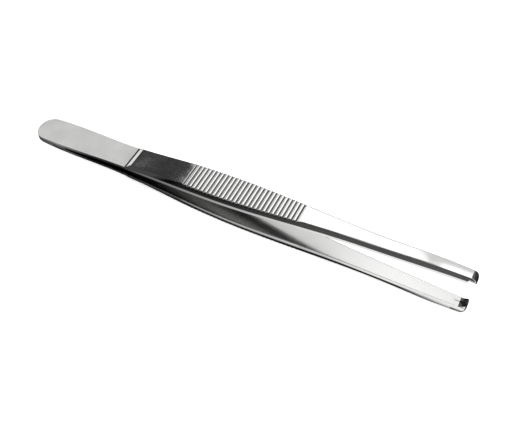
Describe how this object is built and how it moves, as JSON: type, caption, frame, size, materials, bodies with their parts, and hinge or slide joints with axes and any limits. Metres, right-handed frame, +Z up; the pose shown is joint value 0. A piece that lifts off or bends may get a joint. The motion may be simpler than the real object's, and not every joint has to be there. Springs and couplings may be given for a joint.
{
  "type": "thumb forceps",
  "caption": "Stainless steel thumb forceps with two spring arms welded at the butt, cross-ribbed grips and toothed tips, one tooth against two.",
  "frame": {"origin": "centre of the bounding box's underside, on the surface that the flat ribbed pad of the lower arm rests on", "axes": "+X along the forceps from the butt to the toothed tips, +Y across the arms, +Z up through the opening between the arms"},
  "size_m": [0.1452, 0.0104, 0.0175],
  "materials": {
    "steel": "bright polished stainless steel with fine grinding lines"
  },
  "bodies": {
    "root": {"single_tooth_arm": "steel", "double_tooth_arm": "steel"}
  },
  "joints": []
}
